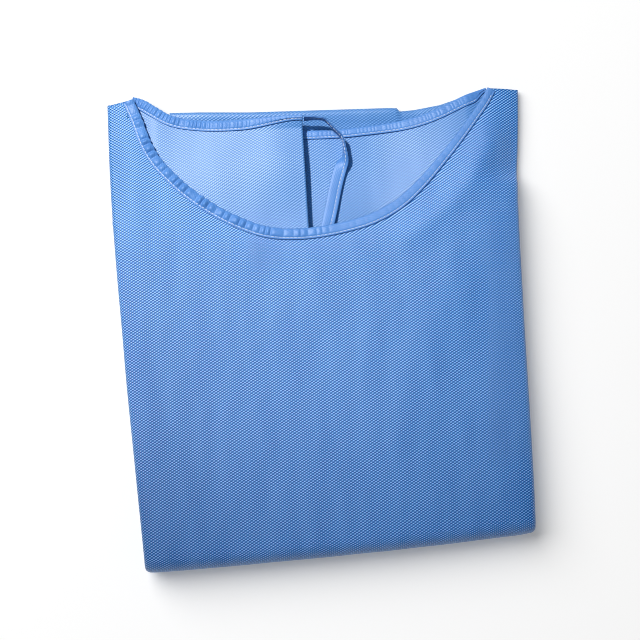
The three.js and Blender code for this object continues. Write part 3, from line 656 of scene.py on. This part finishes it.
def ring_solid(name, rings, material):
    """A closed solid through rings of equal count, with its flat cloth read along and around it."""
    rings = np.array(rings)
    count, points = rings.shape[:2]
    closed = np.concatenate([rings, rings[:, :1]], axis=1)
    around = np.cumsum(np.linalg.norm(np.diff(closed, axis=1), axis=2), axis=1).mean(0)
    middle = rings.mean(1)
    run = np.append(0, np.cumsum(np.linalg.norm(np.diff(middle, axis=0), axis=1)))
    flat = np.stack(np.meshgrid(run, np.append(0, -around), indexing="ij"), -1)
    n = np.arange(count * points).reshape(count, points)
    nxt = np.roll(n, -1, axis=1)
    faces = quads(n[:-1], nxt[:-1], nxt[1:], n[1:])
    corners = np.stack(
        [flat[:-1, :-1], flat[:-1, 1:], flat[1:, 1:], flat[1:, :-1]], 2).reshape(-1, 4, 2)
    caps = [n[0][::-1].tolist(), n[-1].tolist()]
    cap_flat = np.vstack([flat[0, :-1][::-1], flat[-1, :-1]])
    p = rings.reshape(-1, 3)
    a, b, c = (p[faces[:, k]] for k in range(3))
    outward = np.einsum("ij,ij->i", a, np.cross(b, c)).sum() > 0
    faces = faces.tolist() + caps
    corners = np.vstack([corners.reshape(-1, 2), cap_flat])
    if not outward:
        start, turned = 0, []
        for face in faces:
            turned.append(corners[start:start + len(face)][::-1])
            start += len(face)
        faces = [face[::-1] for face in faces]
        corners = np.vstack(turned)
    return finish_mesh(name, p, faces, corners, material)


def tape_frame(edge, inner):
    """At each section of a tape: its edge point, the way into the panel, and the way up from it."""
    into = unit(inner - edge)
    up = np.cross(np.gradient(edge, axis=0), into)
    up = unit(up * np.sign(up[:, 2:].mean()))
    return edge, into, up


def tape_profile(top, wall, gather):
    """Runs and rises round one section of folded tape, and the height of each above the panel."""
    valley = top - STITCH_INSET
    legs = [
        (top - 0.15, 0.12), (top, 0.35), (top, TAPE_RISE - 0.3), (top - 0.25, TAPE_RISE - 0.05),
        (top - 0.7, TAPE_RISE), (valley, TAPE_RISE - STITCH_DIP + 0.2 * gather),
        (valley - 0.7, TAPE_RISE + 0.05 + 0.5 * gather),
    ]
    legs += [(valley * t, TAPE_RISE + 0.1 + gather * g) for t, g in (
        (0.75, 0.8), (0.6, 1.0), (0.45, 1.0), (0.3, 0.95), (0.15, 0.8))]
    nose = [(-(NOSE_RADIUS + 0.35 * gather) * np.cos(turn),
             NOSE_RADIUS * np.sin(turn) + 0.1 + 0.3 * gather) for turn in NOSE_TURNS]
    under = min(top, TAPE_UNDER)
    below = [(0.5, -wall - 0.6), (under, -wall - 0.6), (under, -wall - 0.12), (0, -wall - 0.12),
             (-0.12, -wall / 2), (0, 0.12)]
    return np.array(legs + nose + below)


def wrap_tape(name, sections, widths, wall, gathers, material):
    edge, into, up = sections
    rings = []
    for i, (top, gather) in enumerate(zip(widths, gathers)):
        profile = tape_profile(top, wall, gather)
        rings.append(edge[i] + profile[:, :1] * into[i] + profile[:, 1:] * up[i])
    return ring_solid(name, rings, material)


def puckers(length, count, pitch, seed):
    """Uneven bulges along a tape, 0 at each tight crease and about 1 at each crest."""
    run = np.linspace(0, length, count)
    drift = np.array([noise.noise(Vector((s / (1.6 * pitch), seed, 0.5))) for s in run])
    size = np.array([noise.noise(Vector((s / (2.3 * pitch), seed, 7.5))) for s in run])
    return np.abs(np.sin(np.pi * (run / pitch + 0.8 * drift))) * (0.75 + 0.6 * size)


def stitch_line(sections, widths, gathers):
    edge, into, up = sections
    run = (widths - STITCH_INSET)[:, None]
    rise = (TAPE_RISE - STITCH_DIP + 0.2 * gathers + 0.12)[:, None]
    return edge + into * run + up * rise


# Tape cloth: faint painted light and shade on the dots' facets, from the deep stop to the crest
# stop.
tape_cloth = spunbond(
    "tape_cloth", deep=(0.03, 0.12, 0.36), mid=(0.07, 0.21, 0.50), crest=(0.18, 0.35, 0.70),
    contrast=0.14, relief=0.06, streaks=0.5, roughness=0.5)

FRONT_SECTIONS = 720
front_line, front_along, front_tape_length = along_curve(FRONT_STITCH, FRONT_SECTIONS)
front_in = np.stack([front_along[:, 1], -front_along[:, 0]], -1)
front_widths = lerp(TAPE_WIDE, TAPE_NARROW, smooth(front_line[:, 0], 50, 120))
front_edge = front_line - front_in * front_widths[:, None]
front_inner = front_edge + front_in * BAND
front_share = np.linspace(0, 1, FRONT_SECTIONS + 1)
front_gathers = puckers(front_tape_length, FRONT_SECTIONS + 1, 6.2, 1.3) * lerp(
    1.9, 0.2, smooth(front_share, 0.3, 0.6))
front_sections = tape_frame(
    on_top(*front_edge.T, 0, front_edge[:, 0])[0], on_top(*front_inner.T, 0, front_inner[:, 0])[0])
front_tape = wrap_tape("neck_binding_front_tape", front_sections, front_widths, PANEL_WALL,
                       front_gathers, tape_cloth)

BACK_SECTIONS = 420


def back_tape(name, table, face, lean, widths, pitch, heights, seed):
    line, along, length = along_curve(table, BACK_SECTIONS)
    into = np.stack([along[:, 1], -along[:, 0]], -1)
    width = widths(line[:, 0])
    gather = puckers(length, BACK_SECTIONS + 1, pitch, seed) * heights(line[:, 0])
    sections = tape_frame(
        back_point(line, into, 0, face, lean), back_point(line, into, BAND / 2, face, lean))
    tape = wrap_tape(name, sections, width, PANEL_WALL, gather, tape_cloth)
    return tape, stitch_line(sections, width, gather), length


left_tape, left_stitch, left_tape_length = back_tape(
    "neck_binding_back_left_tape", LEFT_NECK, back_left, left_lean,
    lambda x: lerp(lerp(2.0, TAPE_WIDE, smooth(x, -134, -128)), 2.6, smooth(x, -56, -9)), 3.1,
    lambda x: 1.1 - 0.8 * smooth(x, -80, -30), 4.4)
right_tape, right_stitch, right_tape_length = back_tape(
    "neck_binding_back_right_tape", RIGHT_NECK, back_right, no_lean,
    lambda x: lerp(lerp(5.6, TAPE_WIDE, smooth(x, 30, 85)), 2.0, smooth(x, 116, 128)), 3.3,
    lambda x: 0.22 + 0 * x, 9.2)
front_stitch = stitch_line(front_sections, front_widths, front_gathers)
for tape, node, panel, length in (
    (front_tape, "neck_binding_front", front_panel, front_tape_length),
    (left_tape, "neck_binding_back_left", left_panel, left_tape_length),
    (right_tape, "neck_binding_back_right", right_panel, right_tape_length),
):
    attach(tape, "root")
    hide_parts(node)
    length / 1000

# Neck tie: the left binding carried on past the panel as a folded strip, sewn along its open edges.
# It stands on edge from its root, bends twice, turns over and runs down under the front.
TIE_HALF = 4.5
TIE_LAYER = 0.45
TIE_OPEN = 0.25
TIE_SEAM = 1.9
TIE_ROUTE = np.array([
    # x, y, z of the middle line, and the strip's lean up from flat in degrees
    (-7.4, 149.6, 16.6, 80), (0.2, 149.1, 17.4, 88), (6.6, 148.0, 17.8, 90),
    (8.3, 147.1, 17.6, 90), (9.6, 145.7, 17.2, 90), (14.6, 140.4, 15.6, 90),
    (18.8, 135.9, 14.0, 88), (20.2, 133.6, 13.4, 88), (20.8, 130.6, 13.0, 86),
    (21.2, 125.5, 12.6, 80), (21.1, 120.5, 12.3, 66), (19.6, 116.0, 11.6, 30),
    (17.4, 111.6, 11.4, 6), (13.4, 99.2, 12.4, 0), (9.1, 82.6, 14.2, 0), (5.6, 70.0, 15.8, 0),
    (2.4, 59.0, 17.0, 0), (-0.2, 50.0, 17.6, 0),
])
TIE_SECTIONS = 240
tie_line, tie_along, tie_length = along_curve(TIE_ROUTE, TIE_SECTIONS)
tie_lean = np.radians(tie_line[:, 3])
tie_level = unit(tie_along[:, :3] * (1, 1, 0))
tie_across = np.stack([-tie_level[:, 1] * np.cos(tie_lean), tie_level[:, 0] * np.cos(tie_lean),
                       np.sin(tie_lean)], -1)
tie_up = unit(np.cross(tie_level, tie_across))
gap = TIE_OPEN / 2
top = gap + TIE_LAYER
fold = [(-TIE_HALF - 0.6 * top * np.cos(t), top * np.sin(t))
        for t in np.linspace(-np.pi / 2, np.pi / 2, 7)]
profile = np.array(fold + [
    (-2.4, top + 0.1), (0, top + 0.08), (1.2, top), (TIE_SEAM, top - 0.15), (2.6, top),
    (TIE_HALF - 0.3, top), (TIE_HALF, top - 0.15), (TIE_HALF, gap), (TIE_HALF - 0.8, gap),
    (-TIE_HALF + 0.3, gap * 0.6), (-TIE_HALF + 0.3, -gap * 0.6), (TIE_HALF - 0.8, -gap),
    (TIE_HALF, -gap), (TIE_HALF, -top + 0.15), (TIE_HALF - 0.3, -top), (TIE_SEAM, -top + 0.1),
    (0, -top),
])
rings = [middle + profile[:, :1] * across + profile[:, 1:] * up
         for middle, across, up in zip(tie_line[:, :3], tie_across, tie_up)]
tie = ring_solid("neck_tie_strip", rings, tape_cloth)
tie_stitch = tie_line[:, :3] + TIE_SEAM * tie_across + top * tie_up
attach(tie, "root")
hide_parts("neck_tie")
tie_length / 1000

# Sleeves: both are folded flat behind the back, and their fold shows beyond the back neck.
SLEEVE_SECTION = [
    (0, 3.0), (0.6, 4.7), (2.6, 5.7), (7, 5.2), (12.5, 3.9), (26, 2.4), (38, 5.0), (51, 6.2),
    (52, 0.5), (26, 0.5), (3, 0.5), (0.6, 1.4),
]
SLEEVE_FOLD = np.array([
    # x, y of the fold, share of the full height
    (-107, 162.4, 0.75), (-84, 161.4, 1), (-47, 159.2, 1), (-10, 158.2, 1), (37, 156.9, 1),
    (56, 156.4, 1), (62, 155.9, 0.95), (64, 153.4, 0.75), (75, 153.9, 0.7), (94, 156.5, 0.7),
    (104, 159.3, 0.7), (114, 162.6, 0.6),
])
SLEEVE_SECTIONS = 120
sleeve_x = np.linspace(SLEEVE_FOLD[0, 0], SLEEVE_FOLD[-1, 0], SLEEVE_SECTIONS)
sleeve_y = np.interp(sleeve_x, SLEEVE_FOLD[:, 0], SLEEVE_FOLD[:, 1])
sleeve_tall = np.interp(sleeve_x, SLEEVE_FOLD[:, 0], SLEEVE_FOLD[:, 2])
sleeve_top = along_curve(SLEEVE_SECTION[:8], 40)[0]
sleeve_under = along_curve(SLEEVE_SECTION[8:] + SLEEVE_SECTION[:1], 20)[0][:-1]
section = np.vstack([sleeve_top, sleeve_under])
rings = [np.stack([x + 0 * section[:, 0], y - section[:, 0], section[:, 1] * tall], -1)
         for x, y, tall in zip(sleeve_x, sleeve_y, sleeve_tall)]
sleeve = ring_solid("sleeve_fold_cloth", rings, inside_cloth)
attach(sleeve, "root")
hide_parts("sleeve_fold")

# Hidden layers: the skirt, sides, cuffs and waist ties are folded flat inside the front panel. Only
# the turned edges of the layers show, in the slit along the sides and under the neck end.
CORE_GAP = 1.0
CORE_NORTH = 42
CORE_SHARES = np.linspace(0, 1, 33)
CORE_END = [(0.33, 1), (0.66, 1), (1.015, 1), (1.023, 0.85), (1.028, 0.55)]
LAYER_BOTTOM = 8.6
LAYER_THICK = 1.62
LAYER_INSETS = (3.4, 5.2, 2.8, 4.6, 3.2)
LAYER_ROUND = 7
LAYER_CORNER = 0.08
LAYER_WANDER = 1.3


def core_ring(x, y, put, roll, squeeze):
    radius = (roll - CORE_GAP) * squeeze
    turns = np.linspace(0.125, 1, 8) * np.pi
    depth = roll - radius * np.cos(turns)
    low = 0 * x[1:-1] + roll + radius
    points, _ = put(
        np.concatenate([x, x[-1] + radius * np.sin(turns), x[-2:0:-1],
                        (x[0] - radius * np.sin(turns))[::-1]]),
        np.concatenate([y, y[-1] + 0 * turns, y[-2:0:-1], y[0] + 0 * turns]),
        np.concatenate([0 * x + roll - radius, depth, low, depth[::-1]]),
        np.concatenate([x, x[-1] + 0 * turns, x[-2:0:-1], x[0] + 0 * turns]),
    )
    return points


def layer_ring(inset, z, seed):
    """Outline of one folded layer, set in from the side folds by an uneven amount."""
    steps = 40
    north = BACK_END_Y + 2 - inset
    ring = []
    for side, column, sign in ((SOUTH_RIGHT, RIGHT, 1), (SOUTH_LEFT, LEFT, -1)):
        y = np.linspace(fold_line(side[0]) + 2 + inset, north, steps + 1)
        share = np.linspace(0, 1, steps + 1)
        from_end = np.minimum(share, 1 - share)
        round_off = LAYER_ROUND * np.clip(1 - from_end / LAYER_CORNER, 0, 1)
        wander = np.array([noise.noise(Vector((v / 70, seed, sign * 3.0))) for v in y])
        x = read(SIDES, column, y) - sign * (inset + round_off + LAYER_WANDER * wander)
        top = height(right_line(y) if sign > 0 else left_line(y), y)
        edge = np.stack([x, y, z * (top + 1.2) / STACK_HEIGHT], -1)
        ring.append(edge if sign > 0 else edge[::-1])
    return np.vstack(ring)


# Layer cloth: the same painted glint at the crest stop and painted shade at the deep stop as the
# front cloth.
layer_cloth = spunbond(
    "layer_cloth", deep=(0.0, 0.045, 0.25), mid=(0.0, 0.175, 0.49), crest=(0.35, 0.57, 0.87),
    contrast=0.9, relief=0.25, streaks=0.25, roughness=0.40)
core_start = (MID_Y - CORE_NORTH) / (MID_Y - fold_line(0))
rings = [core_ring(*skirt_run(lerp(core_start, 1, t), CORE_SHARES), on_top, south_roll,
                   0.5 if t == 0 else 1) for t in (0, 0.012, *np.linspace(0.1, 1, 14))]
rings += [core_ring(*skirt_run(1, CORE_SHARES), on_fold(np.pi * i / 14), south_roll, 1)
          for i in range(1, 15)]
rings += [core_ring(*underside_run(share, CORE_SHARES), on_underside(share), south_roll, squeeze)
          for share, squeeze in CORE_END]
core = ring_solid("folded_layers_core", rings, layer_cloth)
rings = []
for layer, inset in enumerate(LAYER_INSETS):
    base = LAYER_BOTTOM + layer * LAYER_THICK
    for share in np.linspace(-0.44, 0.44, 7):
        bulge = 0.9 * (1 - math.sqrt(1 - (2 * share) ** 2))
        rings.append(layer_ring(inset + bulge, base + (share + 0.5) * LAYER_THICK, layer + 0.3))
layers = ring_solid("folded_layers_edges", rings, layer_cloth)
for piece in (core, layers):
    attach(piece, "root")
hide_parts("folded_layers")

# Stitching: white polyester lockstitch along each tape and the tie, sunk a little into the cloth.
STITCH_PITCH = 2.8
STITCH_LENGTH = 2.5
STITCH_RADIUS = 0.21

thread_white = bpy.data.materials.new("thread_white")
thread_white.use_nodes = True
shader = thread_white.node_tree.nodes["Principled BSDF"]
thread = Wire(thread_white.node_tree, None)
place = thread.node("ShaderNodeTexCoord", {}, output=3)
twist = thread.node("ShaderNodeTexNoise", {"Vector": place, "Scale": 1800.0, "Detail": 2.0})
worn = thread.node("ShaderNodeMix", {"Factor": twist, "A": (0.50, 0.52, 0.60, 1),
                                     "B": (0.85, 0.84, 0.84, 1)}, output=2, data_type="RGBA")
thread_white.node_tree.links.new(worn.socket, shader.inputs["Base Color"])
shader.inputs["Roughness"].default_value = 0.5

sewing = bpy.data.node_groups.new("sewing", "GeometryNodeTree")
sewing.interface.new_socket("Path", in_out="INPUT", socket_type="NodeSocketGeometry")
inputs = {}
for label, kind in (("Pitch", "NodeSocketFloat"), ("Length", "NodeSocketFloat"),
                    ("Radius", "NodeSocketFloat"), ("Unevenness", "NodeSocketFloat"),
                    ("Seed", "NodeSocketInt"), ("Thread", "NodeSocketMaterial")):
    inputs[label] = sewing.interface.new_socket(label, in_out="INPUT", socket_type=kind).identifier
sewing.interface.new_socket("Stitches", in_out="OUTPUT", socket_type="NodeSocketGeometry")


def sew(kind, values, **settings):
    made = sewing.nodes.new(kind)
    for key, value in settings.items():
        setattr(made, key, value)
    for key, value in values.items():
        if isinstance(value, bpy.types.NodeSocket):
            sewing.links.new(value, made.inputs[key])
        else:
            made.inputs[key].default_value = value
    return made


given = sew("NodeGroupInput", {}).outputs
path = sew("GeometryNodeMeshToCurve", {"Mesh": given["Path"]})
spots = sew("GeometryNodeCurveToPoints", {"Curve": path.outputs[0], "Length": given["Pitch"]},
            mode="LENGTH")
ball = sew("GeometryNodeMeshUVSphere", {"Segments": 8, "Rings": 6, "Radius": 1.0})
half = sew("ShaderNodeMath", {0: given["Length"], 1: 0.5}, operation="MULTIPLY")
shape = sew("ShaderNodeCombineXYZ", {
    "X": half.outputs[0], "Y": given["Radius"], "Z": given["Radius"]})
stitch_form = sew("GeometryNodeTransform", {
    "Geometry": ball.outputs["Mesh"], "Scale": shape.outputs[0]})
turn = sew("FunctionNodeAlignRotationToVector", {"Vector": spots.outputs["Tangent"]}, axis="X")
spread = sew("ShaderNodeMath", {0: given["Unevenness"], 1: -1.0}, operation="MULTIPLY")
wobble = sew("FunctionNodeRandomValue", {"Seed": given["Seed"]}, data_type="FLOAT")
sewing.links.new(spread.outputs[0], wobble.inputs[2])
sewing.links.new(given["Unevenness"], wobble.inputs[3])
lay = sew("FunctionNodeRotateRotation", {"Rotation": turn.outputs[0]}, rotation_space="GLOBAL")
tilt = sew("FunctionNodeAxisAngleToRotation", {"Axis": (0, 0, 1), "Angle": wobble.outputs[1]})
sewing.links.new(tilt.outputs[0], lay.inputs["Rotate By"])
placed = sew("GeometryNodeInstanceOnPoints", {
    "Points": spots.outputs["Points"], "Instance": stitch_form.outputs[0],
    "Rotation": lay.outputs[0]})
solid = sew("GeometryNodeRealizeInstances", {"Geometry": placed.outputs[0]})
smoothed = sew("GeometryNodeSetShadeSmooth", {"Geometry": solid.outputs[0]})
dyed = sew("GeometryNodeSetMaterial", {
    "Geometry": smoothed.outputs[0], "Material": given["Thread"]})
sew("NodeGroupOutput", {0: dyed.outputs[0]})


def sewn(name, line, seed):
    """Stitches along a line of points, made a plain mesh piece."""
    carrier = bpy.data.meshes.new(name + "_path")
    steps = [(i, i + 1) for i in range(len(line) - 1)]
    carrier.from_pydata((np.array(line) / 1000).tolist(), steps, [])
    holder = bpy.data.objects.new(name + "_path", carrier)
    scene.collection.objects.link(holder)
    modifier = holder.modifiers.new("sewing", "NODES")
    modifier.node_group = sewing
    for label, value in (("Pitch", STITCH_PITCH / 1000), ("Length", STITCH_LENGTH / 1000),
                         ("Radius", STITCH_RADIUS / 1000), ("Unevenness", 0.09), ("Seed", seed),
                         ("Thread", thread_white)):
        modifier[inputs[label]] = value
    graph = bpy.context.evaluated_depsgraph_get()
    mesh = bpy.data.meshes.new_from_object(holder.evaluated_get(graph))
    holder.modifiers.clear()
    bpy.data.objects.remove(holder)
    piece = bpy.data.objects.new(name, mesh)
    scene.collection.objects.link(piece)
    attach(piece, "root")


sewn("stitches_front", front_stitch[6:-10], 11)
sewn("stitches_back_left", left_stitch[14:-6], 12)
sewn("stitches_back_right", right_stitch[4:-30], 13)
sewn("stitches_tie", tie_stitch[4:-4], 14)
